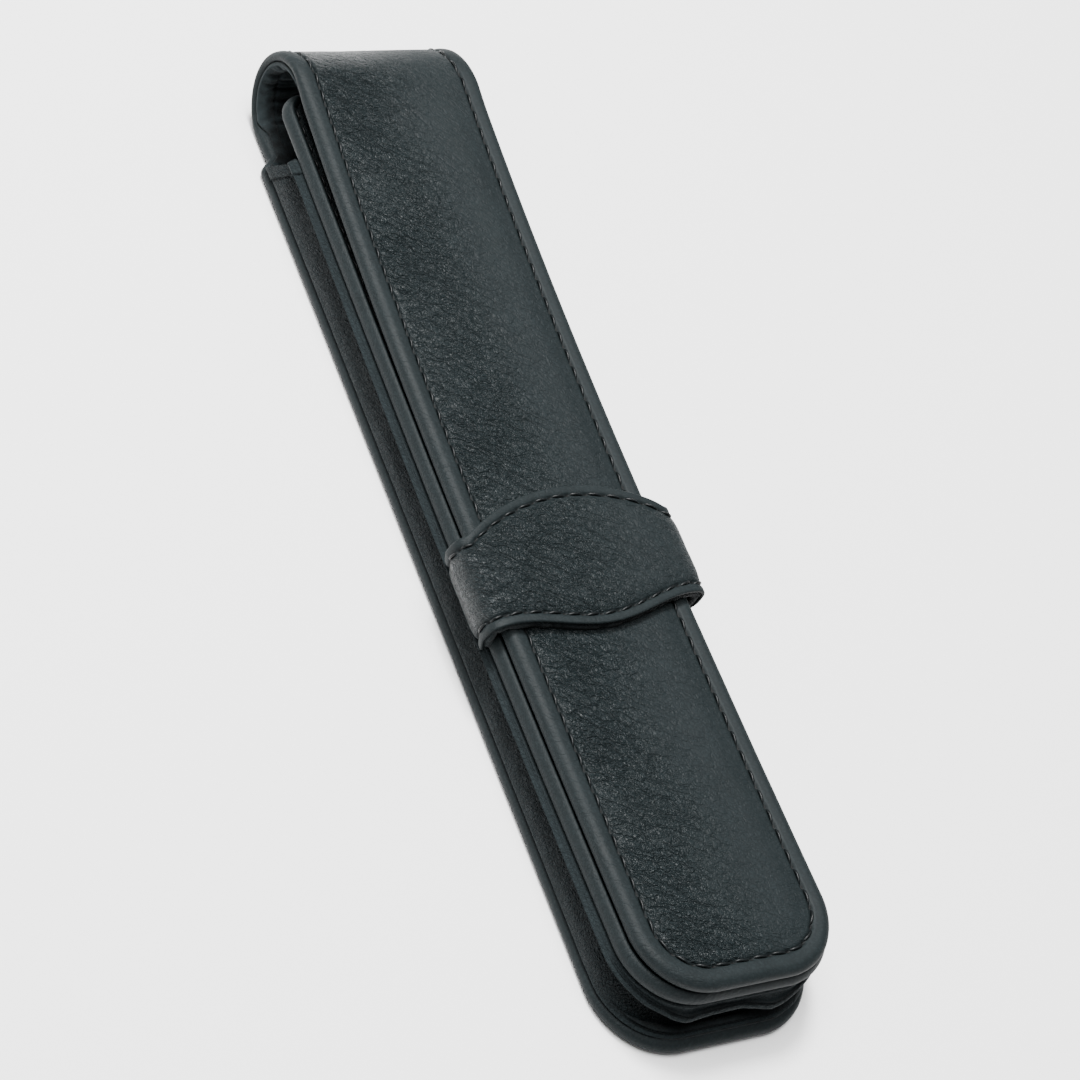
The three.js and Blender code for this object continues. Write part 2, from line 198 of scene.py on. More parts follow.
def lay_front(x, y, depth):
    y = np.asarray(y, float)
    out_y, out_z = slope_normal(front_height, y)
    return on_surface(x, y, front_height(y), out_y, out_z, depth)


# ---- Meshes ----

def make_object(name, points, faces, material, sheet=None, grain=None, normals=None, flat_from=None):
    """sheet is each point's place on the flat leather, and grain is how strong its grain is there, or below 0
    how much painted shade darkens it in stitch holes. Faces from flat_from on are cut ends, with sharp edges."""
    mesh = bpy.data.meshes.new(name)
    mesh.from_pydata((np.asarray(points) * MM).tolist(), [], faces)
    mesh.polygons.foreach_set("use_smooth", [True] * len(mesh.polygons))
    layers = (("sheet", "FLOAT_VECTOR", "vector", sheet), ("grain", "FLOAT", "value", grain))
    for key, kind, field, values in layers:
        if values is not None:
            attribute = mesh.attributes.new(key, kind, "POINT")
            attribute.data.foreach_set(field, np.asarray(values, np.float32).ravel())
    mesh.update()
    if normals is not None:
        corner_vertex = np.zeros(len(mesh.loops), int)
        mesh.loops.foreach_get("vertex_index", corner_vertex)
        corner_normals = np.asarray(normals)[corner_vertex]
        for polygon in mesh.polygons[flat_from:]:
            corner_normals[polygon.loop_indices] = polygon.normal
        mesh.normals_split_custom_set(corner_normals.tolist())
    obj = bpy.data.objects.new(name, mesh)
    bpy.context.scene.collection.objects.link(obj)
    obj.data.materials.append(material)
    return obj


def outward(points, faces):
    """The faces, all turned over if the closed body they make is inside out."""
    fans = np.array([(face[0], b, c) for face in faces for b, c in zip(face[1:], face[2:])])
    a, b, c = (np.asarray(points)[fans[:, k]] for k in range(3))
    volume = np.einsum("ij,ij->", a, np.cross(b, c))
    return faces if volume > 0 else [face[::-1] for face in faces]


def grid_faces(rows, columns, close_rows=False, close_columns=False):
    """Quads between neighbouring points of a grid numbered row by row."""
    i = np.arange(rows if close_rows else rows - 1)
    j = np.arange(columns if close_columns else columns - 1)
    i, j = (grid.ravel() for grid in np.meshgrid(i, j, indexing="ij"))
    i2, j2 = (i + 1) % rows, (j + 1) % columns
    quads = np.stack([i * columns + j, i * columns + j2, i2 * columns + j2, i2 * columns + j], axis=1)
    return quads.tolist()


def tube_faces(rows, columns):
    """The faces of a body through equal closed rings, capped at both ends."""
    faces = grid_faces(rows, columns, close_columns=True)
    faces.append(list(range(columns))[::-1])
    faces.append(list(range((rows - 1) * columns, rows * columns)))
    return faces


def sweep(name, rings, material, sheet, grain):
    """An object through closed rings of points."""
    points = rings.reshape(-1, 3)
    return make_object(name, points, outward(points, tube_faces(*rings.shape[:2])), material, sheet, grain)


def lengths_along(a, b):
    """The distance along a line from its first point to each of its points."""
    return np.concatenate([[0], np.cumsum(np.hypot(np.diff(a), np.diff(b)))])


def sew_to_pouch(obj, slot, *nodes):
    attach(obj, "pouch")
    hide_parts(*nodes)


# ---- Panels with a turned edge ----

QUARTER_TURN = 1.57
# How deep and how wide a seam's channel is, and how much deeper and how wide its holes are.
SEAM_DENT = (0.28, 0.36, 0.34)
HOLE_WIDTH = 0.27
# How deep a dent is where painted shade begins to darken the leather toward a hole, and where the painted
# shade is darkest.
PAINTED_SHADE_DENTS = (0.14, 0.46)


class Outline:
    """A panel's outline with rounded corners and a flat stretch at each end, as a loop of places on the sheet
    and outward directions. It starts at the low end's left corner and goes round to the right."""

    def __init__(self, half, low, high, low_corner, high_corner, straight, columns):
        steps = lambda corner: max(3, round(corner * QUARTER_TURN / ROW_STEP))
        quarter = lambda corner: np.linspace(0, math.pi / 2, steps(corner))
        first, last = quarter(low_corner)[:-1], quarter(high_corner)[::-1][1:]
        low_half, high_half = half(low + low_corner), half(high - high_corner)
        x = [low_half - low_corner * (1 - np.sin(first)), half(straight),
             high_half - high_corner * (1 - np.sin(last))]
        s = [low + low_corner * (1 - np.cos(first)), straight, high - high_corner * (1 - np.cos(last))]
        out_x = [np.sin(first), np.ones(len(straight)), np.sin(last)]
        out_s = [-np.cos(first), np.zeros(len(straight)), np.cos(last)]
        x, s, out_x, out_s = (np.concatenate(part) for part in (x, s, out_x, out_s))
        across = np.linspace(-1, 1, columns + 1)
        loop = lambda low, side, high, sign: np.concatenate([low, side[1:-1], high, sign * side[1:-1][::-1]])
        self.rows, self.columns = len(x), columns
        self.x = loop(across * x[0], x, -across * x[-1], -1)
        self.s = loop(0 * across + s[0], s, 0 * across + s[-1], 1)
        self.out_x = loop(0 * across, out_x, 0 * across, -1)
        self.out_s = loop(0 * across - 1, out_s, 0 * across + 1, 1)
        self.count = len(self.x)
        self.right = np.arange(self.rows) + columns
        self.left = (self.count - np.arange(self.rows)) % self.count
        self.left[-1] = self.rows - 1 + 2 * columns


class Seam:
    """A line with a whole number of stitches inside an outline, or inside the chosen part of it."""

    def __init__(self, outline, inset, chosen=None):
        index = np.arange(outline.count)
        if chosen is not None:
            starts = np.flatnonzero(chosen & ~np.roll(chosen, 1))
            index = np.roll(index, -starts[0])
            index = index[chosen[index]]
        else:
            index = np.append(index, 0)
        self.index = index
        self.x = outline.x[index] - outline.out_x[index] * inset
        self.s = outline.s[index] - outline.out_s[index] * inset
        self.out_x, self.out_s = outline.out_x[index], outline.out_s[index]
        self.along = lengths_along(self.x, self.s)
        self.stitches = round(self.along[-1] / STITCH_PITCH)
        self.pitch = self.along[-1] / self.stitches
        self.inset = inset

    def at(self, along, lateral):
        """Sheet places at a distance along the seam and toward the outline."""
        value = lambda array: np.interp(along, self.along, array)
        return value(self.x) + value(self.out_x) * lateral, value(self.s) + value(self.out_s) * lateral


def to_hole(seam, along):
    """How far along the seam the nearest stitch hole is."""
    return np.abs((along / seam.pitch + 0.5) % 1 - 0.5) * seam.pitch


def stitch_dent(off_line, nearest, channel, channel_width, hole):
    """How deep a seam pulls the leather in, from distances off its line and to its nearest hole."""
    return (channel * np.exp(-(off_line / channel_width) ** 2)
            + hole * np.exp(-(off_line ** 2 + nearest ** 2) / HOLE_WIDTH ** 2))


def seam_dent(seams, count, distance):
    """How deep the seams pull a panel's leather in. A seam that isn't closed fades out at its ends."""
    dent = np.zeros(distance.shape)
    for seam in seams:
        nearest = to_hole(seam, seam.along)
        place = np.arange(len(seam.along))
        closed = len(place) > count
        fade = np.ones(len(place)) if closed else np.minimum(1, np.minimum(place, place[::-1]) / 3)
        off_line = distance[seam.index] - seam.inset
        pulled = stitch_dent(off_line, nearest[:, None], *SEAM_DENT)
        dent[seam.index] = np.maximum(dent[seam.index], fade[:, None] * pulled)
    return dent


def with_painted_hole_shade(grain, dent):
    """The grain, less than 0 where the stitches pull the leather in, down to -1 in their holes: there it is
    painted shade that darkens the leather's colour.
    """
    # hole is painted shade: 0 on plain leather, 1 where the seam's channel and holes are painted darkest.
    hole = smooth(dent, *PAINTED_SHADE_DENTS)
    return grain * (1 - hole) - hole


def joined_section(inside, turn, face):
    """A section, and how far each of its points follows the face's relief."""
    section = inside + turn + [(distance, 0.0) for distance in face]
    outer = np.concatenate([np.zeros(len(inside)), np.linspace(0, 1, len(turn)) ** 2, np.ones(len(face))])
    return np.array(section), outer


def round_edge(inset, radius, steps):
    turn = np.linspace(math.pi, 0, steps)
    return [(inset + radius - radius * math.sin(a), radius - radius * math.cos(a)) for a in turn]


def turned_section(reach, roll, skin, tuck, seam_inset):
    """A leather's section as distances in from the edge and depths, with its edge turned in."""
    radius = roll / 2
    under = min(0.45, radius * 0.45)
    face = np.concatenate([
        np.linspace(radius, seam_inset - 0.7, 5)[1:],
        np.linspace(seam_inset - 0.6, seam_inset + 0.6, 9),
        np.linspace(seam_inset + 0.75, reach, 5),
    ])
    inside = [(reach, skin), (radius + 0.6, skin), (radius * 0.75, skin + 0.15),
              (radius * 0.75, roll - under - 0.1), (radius + 0.5, roll - under), (tuck, roll - under),
              (tuck + 0.05, roll - under / 2), (tuck, roll)]
    return joined_section(inside, round_edge(0, radius, 11), face)


def slab_section(reach, inset, thick, seam_inset):
    """A lining's section, with an eased cut edge instead of a turned one."""
    ease = thick / 2
    face = np.concatenate([
        np.linspace(inset + ease, seam_inset - 0.7, 4)[1:],
        np.linspace(seam_inset - 0.6, seam_inset + 0.6, 7),
        np.linspace(seam_inset + 0.8, reach, 4),
    ])
    return joined_section([(reach, thick), (inset + 1.2, thick)], round_edge(inset, ease, 7), face)


class Panel:
    """A sheet of leather or lining. Its section goes round the outline, a fine grid fills its face, and its
    inside is plain. The other section takes over where blend is 1."""

    def __init__(self, outline, section, outer, seams, relief, blend=None, other=None):
        count, length, columns = outline.count, len(section), outline.columns + 1
        reach = section[-1, 0]
        section = np.broadcast_to(section, (count, *section.shape))
        if blend is not None:
            weight = blend(outline.s)[:, None, None]
            section = section * (1 - weight) + other * weight
        distance, depth = section[..., 0], section[..., 1]
        x = outline.x[:, None] - outline.out_x[:, None] * distance
        s = outline.s[:, None] - outline.out_s[:, None] * distance
        dent = outer * seam_dent(seams, count, distance)
        depth = depth + dent + outer * relief(x, s, distance)
        ring = np.arange(count) * length + length - 1
        share = np.linspace(0, 1, columns)
        left, right = outline.left, outline.right
        grid = np.zeros((outline.rows, columns), int)
        grid[0], grid[-1] = ring[:columns], ring[right[-1]:left[-1] + 1][::-1]
        grid[:, 0], grid[:, -1] = ring[left], ring[right]
        inner_rows = slice(1, outline.rows - 1)
        left_x, right_x = x[left, -1][inner_rows, None], x[right, -1][inner_rows, None]
        fill_x = left_x * (1 - share[1:-1]) + right_x * share[1:-1]
        fill_s = np.broadcast_to(s[right, -1][inner_rows, None], fill_x.shape)
        start = count * length
        grid[inner_rows, 1:-1] = start + np.arange(fill_x.size).reshape(fill_x.shape)
        fill_distance = reach + np.minimum(np.abs(right_x) - np.abs(fill_x),
                                           np.minimum(fill_s - s[0, -1], s[right[-1], -1] - fill_s))
        fill_depth = relief(fill_x, fill_s, fill_distance)
        both = lambda edge, fill: np.concatenate([edge.ravel(), fill.ravel()])
        self.x, self.s, self.depth = both(x, fill_x), both(s, fill_s), both(depth, fill_depth)
        self.distance, self.dent = both(distance, fill_distance), both(dent, 0 * fill_distance)
        faces = grid_faces(count, length, close_rows=True)
        a, b, c, d = grid[:-1, :-1], grid[:-1, 1:], grid[1:, 1:], grid[1:, :-1]
        faces += np.stack([d.ravel(), c.ravel(), b.ravel(), a.ravel()], axis=1).tolist()
        inside = np.arange(count) * length
        faces.append(inside[[*range(columns), right[1], left[1]]].tolist())
        faces.append(inside[[*range(right[-1], left[-1] + 1), left[-2], right[-2]]].tolist())
        faces += inside[np.stack([left[1:-2], right[1:-2], right[2:-1], left[2:-1]], axis=1)].tolist()
        self.faces = faces

    def sheet(self, shift=0.0):
        """Where each point is on the flat leather, with the panel shifted sideways on it."""
        return np.stack([self.x + shift, self.s, self.depth], axis=1)

    def grain(self, seam_inset):
        """The grain is pressed flat outside the stitches and stronger on the left. Below 0 it is painted
        shade, how dark the leather is painted in the stitches' channels and holes."""
        inside = 0.12 + 0.88 * smooth(self.distance, seam_inset - 0.2, seam_inset + 1.0)
        left = 0.25 + 0.75 * smooth(-self.x, -8, 8)
        patch = 0.7 + 0.6 * value_noise(self.x / 9, self.s / 12, 71)
        return with_painted_hole_shade(inside * left * patch, self.dent)


def cut_sheet(points, faces, s, low, high):
    """The part of a sheet between two places, with its cut ends closed: points, faces, which points of the
    sheet they are and how many faces are its own."""
    tolerance = 1e-6
    inside = (s > low - tolerance) & (s < high + tolerance)
    kept = [face for face in faces if all(inside[i] for i in face)]
    used = np.unique(np.concatenate([np.array(face) for face in kept]))
    number = np.full(len(points), -1)
    number[used] = np.arange(len(used))
    kept = [[int(number[i]) for i in face] for face in kept]
    follows = {}
    edges = {edge for face in kept for edge in zip(face, face[1:] + face[:1])}
    for a, b in edges:
        if (b, a) not in edges:
            follows[b] = a
    own = len(kept)
    while follows:
        loop = [next(iter(follows))]
        while loop[-1] in follows:
            loop.append(follows.pop(loop[-1]))
        kept.append(loop[:-1])
    return points[used], kept, used, own


# ---- Materials ----

def new_material(name):
    material = bpy.data.materials.new(name)
    material.use_nodes = True
    tree = material.node_tree
    tree.nodes.clear()
    output = tree.nodes.new("ShaderNodeOutputMaterial")
    shader = tree.nodes.new("ShaderNodeBsdfPrincipled")
    tree.links.new(shader.outputs["BSDF"], output.inputs["Surface"])
    return material, tree, shader


def set_inputs(tree, node, inputs):
    """Sets a node's inputs to values, or links them to other nodes' outputs."""
    for key, value in inputs.items():
        if isinstance(value, bpy.types.NodeSocket):
            tree.links.new(value, node.inputs[key])
        else:
            node.inputs[key].default_value = value


def add_node(tree, kind, inputs, **settings):
    made = tree.nodes.new("ShaderNode" + kind)
    for key, value in settings.items():
        setattr(made, key, value)
    set_inputs(tree, made, inputs)
    return made


def carried(tree, name, output):
    """What each point of a mesh carries under a name: its place on the sheet, or its grain, which below 0 is
    painted shade in stitch holes.
    """
    return add_node(tree, "Attribute", {}, attribute_name=name).outputs[output]


def math_node(tree, operation, a, b=0.0, c=0.0):
    return add_node(tree, "Math", {0: a, 1: b, 2: c}, operation=operation).outputs[0]


def ramp(tree, value, low, high, dark, light):
    """A colour from dark to light as value goes from low to high."""
    made = add_node(tree, "ValToRGB", {"Fac": value})
    elements = made.color_ramp.elements
    elements[0].position, elements[0].color = low, (*dark, 1)
    elements[1].position, elements[1].color = high, (*light, 1)
    return made.outputs["Color"]


def bump(tree, height, distance):
    return add_node(tree, "Bump", {"Height": height, "Distance": distance, "Strength": 1.0}).outputs["Normal"]


def noise(tree, place, scale, detail, **more):
    inputs = {"Vector": place, "Scale": scale, "Detail": detail}
    return add_node(tree, "TexNoise", {**inputs, **more}).outputs["Fac"]


def map_range(tree, value, low, high, to_low=0.0, to_high=1.0, **settings):
    inputs = {"Value": value, "From Min": low, "From Max": high, "To Min": to_low, "To Max": to_high}
    return add_node(tree, "MapRange", inputs, **settings).outputs[0]


def risen(tree, value, high):
    """0 where the value is 0, with a smooth rise to 1 at high."""
    return map_range(tree, value, 0.0, high, interpolation_type="SMOOTHSTEP")


def pebbles(tree, place, scale):
    """The distance to the nearest groove between rounded cells."""
    return add_node(tree, "TexVoronoi", {"Vector": place, "Scale": scale, "Randomness": 1.0},
                    feature="DISTANCE_TO_EDGE").outputs["Distance"]


def stretched(tree, place, lengths, angle):
    """Places for a texture whose grains are drawn out to the given lengths, at an angle on the sheet."""
    return add_node(tree, "Mapping", {"Vector": place, "Scale": lengths, "Rotation": (0, 0, angle)},
                    vector_type="TEXTURE").outputs[0]


def leather_material(name, dark, light, grain_height, cell, roughness, wrinkle, shine):
    """Pebble-grain leather: rounded cells with grooves between them, finer pores, wrinkles and uneven dye,
    and painted shade that darkens the stitches' channels and holes.
    """
    material, tree, shader = new_material(name)
    place = carried(tree, "sheet", "Vector")
    grain = carried(tree, "grain", "Fac")
    warp = add_node(tree, "TexNoise", {"Vector": place, "Scale": 0.8, "Detail": 3.0})
    offset = add_node(tree, "VectorMath", {0: warp.outputs["Color"], 1: (0.5,) * 3}, operation="SUBTRACT")
    bent = add_node(tree, "VectorMath", {0: offset.outputs[0], 1: (1.3, 1.3, 1.3), 2: place},
                    operation="MULTIPLY_ADD").outputs[0]
    drawn = stretched(tree, bent, (1.4, 0.8, 1.0), 0.6)
    pebble = risen(tree, pebbles(tree, drawn, 1 / cell), 0.3)
    pore = risen(tree, pebbles(tree, drawn, 2.1 / cell), 0.25)
    long = stretched(tree, bent, (5.5, 1.25, 2.0), 0.55)
    wrinkles = noise(tree, long, 1.0, 3.0, Roughness=0.5, Distortion=0.5)
    ridged = math_node(tree, "ABSOLUTE", math_node(tree, "MULTIPLY_ADD", wrinkles, 2.0, -1.0))
    fold_lines = risen(tree, ridged, 0.16)
    height = math_node(tree, "MULTIPLY_ADD", pore, 0.3, math_node(tree, "MULTIPLY", pebble, 0.5))
    height = math_node(tree, "MULTIPLY_ADD", fold_lines, wrinkle, height)
    height = math_node(tree, "MULTIPLY", height, math_node(tree, "MAXIMUM", grain, 0.0))
    fine = noise(tree, place, 7.0, 2.0)
    first = bump(tree, height, grain_height * MM)
    second = add_node(tree, "Bump", {"Height": fine, "Distance": 0.02 * MM, "Strength": 0.7, "Normal": first})
    dye = noise(tree, place, 0.16, 5.0, Roughness=0.6)
    tone = math_node(tree, "MULTIPLY_ADD", pebble, 0.35, math_node(tree, "MULTIPLY", dye, 0.65))
    # Painted shade: where the grain value is below 0, in the stitches' channels and holes, the colour is
    # darkened down to a tenth.
    painted_hole_shade = map_range(tree, grain, -1.0, 0.0, 0.1, 1.0)
    colour = add_node(tree, "VectorMath", {0: ramp(tree, tone, 0.2, 0.85, dark, light), "Scale": painted_hole_shade},
                      operation="SCALE").outputs[0]
    # Leather that is pressed flat is duller than its grain.
    pressed = map_range(tree, dye, 0.3, 0.7, roughness + 0.26, roughness + 0.36)
    rough = map_range(tree, grain, 0.0, 1.0, pressed, roughness)
    set_inputs(tree, shader, {"Base Color": colour, "Roughness": rough, "Normal": second.outputs["Normal"],
                              "Specular IOR Level": shine})
    return material


def suede_material(name, dark, light):
    """Napped split suede: fine fuzz in clumps, lighter where the mesh's grain value is higher."""
    material, tree, shader = new_material(name)
    place = carried(tree, "sheet", "Vector")
    fuzz = noise(tree, place, 5.5, 6.0, Roughness=0.75)
    clumps = noise(tree, place, 0.8, 4.0)
    tone = math_node(tree, "MULTIPLY_ADD", fuzz, 0.5, math_node(tree, "MULTIPLY", clumps, 0.5))
    lightness = carried(tree, "grain", "Fac")
    tone = math_node(tree, "MULTIPLY_ADD", lightness, 0.45, tone)
    colour = ramp(tree, tone, 0.35, 1.0, dark, light)
    height = math_node(tree, "MULTIPLY_ADD", clumps, 0.6, fuzz)
    set_inputs(tree, shader, {
        "Base Color": colour, "Normal": bump(tree, height, 0.12 * MM), "Roughness": 0.95,
        "Specular IOR Level": 0.2, "Sheen Weight": 0.03, "Sheen Roughness": 0.6})
    return material


def thread_material():
    """Bonded dark grey thread with fine fibres."""
    material, tree, shader = new_material("seam_thread")
    place = add_node(tree, "TexCoord", {}).outputs["Object"]
    fibres = noise(tree, place, 4.0 / MM, 3.0)
    colour = ramp(tree, fibres, 0.3, 0.7, (0.0008, 0.0012, 0.0014), (0.005, 0.007, 0.0077))
    set_inputs(tree, shader, {
        "Base Color": colour, "Normal": bump(tree, fibres, 0.03 * MM), "Roughness": 0.42,
        "Specular IOR Level": 0.2})
    return material


def board_material():
    """Bonded leather board: brown, with pressed fibres."""
    material, tree, shader = new_material("stiffener_board")
    place = add_node(tree, "TexCoord", {}).outputs["Object"]
    long = add_node(tree, "Mapping", {"Vector": place, "Scale": (1.4 / MM, 0.4 / MM, 1.4 / MM)}).outputs[0]
    fibres = noise(tree, long, 1.0, 5.0)
    colour = ramp(tree, fibres, 0.3, 0.7, (0.09, 0.07, 0.05), (0.2, 0.16, 0.12))
    normal = bump(tree, fibres, 0.05 * MM)
    set_inputs(tree, shader, {"Base Color": colour, "Normal": normal, "Roughness": 0.85})
    return material


CASE_LEATHER = leather_material("case_leather", (0.0048, 0.0074, 0.0081), (0.0083, 0.0123, 0.0135),
                                grain_height=0.15, cell=0.62, roughness=0.34, wrinkle=1.4, shine=0.145)
# The gusset's colours are lighter than the case leather's though the real gusset has the same tone: painted
# light, because the gusset lies in shade under the front panel's edge.
GUSSET_LEATHER = leather_material("gusset_leather", (0.0066, 0.0096, 0.0105), (0.0124, 0.0174, 0.019),
                                  grain_height=0.45, cell=0.55, roughness=0.42, wrinkle=0.5, shine=0.08)
# The suede's dark end is near black: partly the lining's own dark colour and partly painted shade, so the
# band's backing under its lower edge looks shaded.
SUEDE = suede_material("lining_suede", (0.0004, 0.0006, 0.0007), (0.019, 0.028, 0.031))
THREAD = thread_material()
BOARD = board_material()


# ---- Stitches ----

STITCH_SLANT = 0.16
STITCH_SIDES = 8
STITCH_RINGS = 11
# A thread goes down this far into its holes, and its middle rises this far off the leather.
STITCH_DIVE = 0.5
STITCH_ARCH = 0.12


def stitch_mesh(seam, lay, first, last, depth):
    """Threads of the stitches from first to last, each slanting on the leather between two holes. lay turns a
    sheet place and a depth into a point."""
    t = np.linspace(0, 1, STITCH_RINGS)
    turn = np.arange(STITCH_SIDES) * 2 * math.pi / STITCH_SIDES
    rise = np.sin(math.pi * t) ** 0.6
    radius = THREAD_RADIUS * (0.55 + 0.45 * np.minimum(1, 5 * np.minimum(t, 1 - t)))
    points, faces = [], []
    for number in range(first, last):
        along = (number + 0.07 + 0.86 * t) * seam.pitch
        lateral = STITCH_SLANT * (0.5 - t) * 2
        plies = 1 + 0.1 * np.cos(2 * (turn[None, :] - 3.5 * math.pi * t[:, None]))
        side = lateral[:, None] + radius[:, None] * plies * np.cos(turn)
        middle = depth + STITCH_DIVE * (1 - rise[:, None]) - STITCH_ARCH * rise[:, None]
        deep = middle + radius[:, None] * plies * np.sin(turn)
        x, s = seam.at(np.broadcast_to(along[:, None], side.shape), side)
        start = len(points) * STITCH_RINGS * STITCH_SIDES
        points.append(lay(x, s, deep).reshape(-1, 3))
        body = outward(points[-1], tube_faces(STITCH_RINGS, STITCH_SIDES))
        faces += [[start + i for i in face] for face in body]
    return np.concatenate(points), faces


def add_stitches(name, seam, lay, depth, node):
    points, faces = stitch_mesh(seam, lay, 0, seam.stitches, depth)
    sew_to_pouch(make_object(name, points, faces, THREAD), "seam_thread", node)


# ---- The hide: back panel, fold and flap ----

BEND_ENDS = [FOLD_RADIUS * math.radians(heading) for heading in BEND_HEADINGS]
PIECE_LIMITS = [-math.inf, *BEND_ENDS, math.inf]
SHOULDER_S = SHOULDER_Y - FOLD_Y
HIDE_REACH = 5.4
HIDE_COLUMNS = 28
LINING_DEPTH = 2.62
BODIES = ["pouch", "fold_lower", "fold_upper", "flap"]
HIDE_PIECES = ["back_{}", "fold_{}_lower", "fold_{}_middle", "fold_{}_upper", "flap_{}"]
HIDE_NODES = ["back_{}", "fold_{}_1", "fold_{}_2", "fold_{}_3", "flap_{}"]


def hide_half(s):
    """Half the hide's width. It narrows at the shoulder, just before the fold."""
    narrowing = smooth(s, SHOULDER_S - 0.5, SHOULDER_S + 2.0)
    return BACK_HALF + (FLAP_HALF - BACK_HALF) * narrowing


def even(low, high, step):
    return np.linspace(low, high, max(2, round((high - low) / step) + 1))


def hide_rows(low, high):
    """Rows of points along the hide, with one at each end of a bend, and wider apart on the back."""
    stops = [low, SHOULDER_S - 2, *BEND_ENDS, high]
    steps = [0.55] + [ROW_STEP] * 5
    parts = [even(a, b, step)[:-1] for a, b, step in zip(stops, stops[1:], steps)]
    return np.append(np.concatenate(parts), high)


hide_outline = Outline(hide_half, HIDE_LOW_S, HIDE_HIGH_S, BACK_CORNER, FLAP_CORNER,
                       hide_rows(HIDE_LOW_S + BACK_CORNER, HIDE_HIGH_S - FLAP_CORNER), HIDE_COLUMNS)
flap_seam = Seam(hide_outline, FLAP_SEAM, hide_outline.s > -2.6)
back_seam = Seam(hide_outline, PANEL_SEAM, hide_outline.s < SHOULDER_S - 2.5)


def in_fold(s):
    """1 where the hide goes round the fold, where it holds no board, and 0 on the back and the flap."""
    return smooth(s, 0, 4) * (1 - smooth(s, FOLD_END_S - 3, FOLD_END_S + 6))


def hide_relief(x, s, distance):
    """The flap swells a little between its seams, and the soft leather is creased there."""
    within = smooth(distance, FLAP_SEAM + 0.2, FLAP_SEAM + 4)
    on_flap = smooth(s, 1, 8)
    left = 0.55 + 0.45 * smooth(-x, -6, 10)
    crease = 0.075 * within * on_flap * left * (1 - creases(x, s, 11))
    swell = 0.34 * within * smooth(s, FOLD_END_S - 4, FOLD_END_S + 20)
    waves = 0.12 * within * on_flap * (value_noise(x / 9, s / 13, 5) - 0.5)
    edge_waves = 0.06 * on_flap * (value_noise(x / 4, s / 6, 8) - 0.5)
    crown = 0.14 * on_flap * np.exp(-((distance - 1.5) / 0.75) ** 2)
    return crease - swell + waves + edge_waves - crown


def build_sheet(panel, lay):
    """The panel's points, its faces turned out, and the point normals of the whole sheet."""
    points = lay(panel.x, panel.s, panel.depth)
    faces = outward(points, panel.faces)
    mesh = bpy.data.meshes.new("sheet")
    mesh.from_pydata(points.tolist(), [], faces)
    mesh.update()
    normals = np.zeros(len(points) * 3, np.float32)
    mesh.vertices.foreach_get("normal", normals)
    bpy.data.meshes.remove(mesh)
    return points, faces, normals.reshape(-1, 3)


def bend_points(index):
    """Where a bend between two bodies starts and ends. The fold hangs out more on the right, so its pieces
    don't end straight. A bend starts past one end's last point and stops before the other end's first."""
    depth, x = np.meshgrid(np.linspace(-0.5, PANEL + 0.9, 8), np.linspace(-FLAP_HALF, FLAP_HALF, 9))
    first, last = (lay_hide(x, s, depth).reshape(-1, 3) for s in BEND_ENDS[index:index + 2])
    middle, beyond = (lay_hide(0, s, PANEL / 2) for s in BEND_ENDS[index:index + 2])
    along = (beyond - middle) / np.linalg.norm(beyond - middle)
    start = middle + along * (first @ along - middle @ along).max()
    end = middle + along * (last @ along - middle @ along).min()
    return Vector(start) * MM, Vector(end) * MM


def place_hide_piece(obj, index, nodes):
    """Piece 0 is on the back and piece 4 is on the flap. Pieces 1 to 3 lie round the fold and are left where
    they are.
    """
    if index in (0, 4):
        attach(obj, BODIES[0 if index == 0 else 3])
    else:
        start, end = bend_points(index - 1)
        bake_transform(obj)
    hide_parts(*nodes)


def add_hide_pieces(panel, lay, layer, node_layer, material, grain):
    """A layer of the hide, as five pieces cut from one sheet."""
    points, faces, normals = build_sheet(panel, lay)
    sheet = panel.sheet()
    for index, (piece, node) in enumerate(zip(HIDE_PIECES, HIDE_NODES)):
        cut, kept, used, own = cut_sheet(points, faces, panel.s, *PIECE_LIMITS[index:index + 2])
        name = piece.format(layer)
        obj = make_object(name, cut, kept, material, sheet[used], grain[used], normals[used], own)
        place_hide_piece(obj, index, [node.format(node_layer)])


def add_hide():
    section, outer = turned_section(HIDE_REACH, roll=2.35, skin=0.9, tuck=4.4, seam_inset=FLAP_SEAM)
    fold_section, _ = turned_section(HIDE_REACH, roll=1.45, skin=0.7, tuck=4.4, seam_inset=FLAP_SEAM)
    panel = Panel(hide_outline, section, outer, [flap_seam, back_seam], hide_relief, in_fold, fold_section)
    add_hide_pieces(panel, lay_hide, "leather", "outer", CASE_LEATHER, panel.grain(FLAP_SEAM))


def lay_lining(x, s, depth):
    """The lining's depth is taken up from its open face, which lies less deep in the fold."""
    return lay_hide(x, s, LINING_DEPTH - 0.45 * in_fold(s) - depth)


def ruffles(x, s):
    """The lining is gathered on the inside of the fold: 0 in a hollow and 1 on a ridge."""
    ridges = 1 - np.abs(2 * value_noise(x / 6, s / 0.95, 21) - 1)
    fold = smooth(s, -1, 2) * (1 - smooth(s, FOLD_END_S - 8, FOLD_END_S - 1))
    return fold * ridges


def lining_relief(x, s, distance):
    rough = in_fold(s) * (value_noise(x / 0.7, s / 0.5, 23) - 0.5)
    return -0.8 * ruffles(x, s) * smooth(distance, 0.5, 1.4) + 0.12 * rough


def lining_lightness(panel):
    """The lining is lighter along its edge in the fold and on its ridges."""
    edge = 1 - smooth(panel.distance, 0.5, 0.9)
    return in_fold(panel.s) * np.maximum(0.5 * edge, 0.6 * ruffles(panel.x, panel.s) ** 2)


def add_hide_lining():
    section, outer = slab_section(HIDE_REACH, inset=1.3, thick=0.36, seam_inset=FLAP_SEAM)
    fold_section, _ = slab_section(HIDE_REACH, inset=0.25, thick=0.62, seam_inset=FLAP_SEAM)
    panel = Panel(hide_outline, section, outer, [flap_seam], lining_relief, in_fold, fold_section)
    add_hide_pieces(panel, lay_lining, "suede", "lining", SUEDE, lining_lightness(panel))


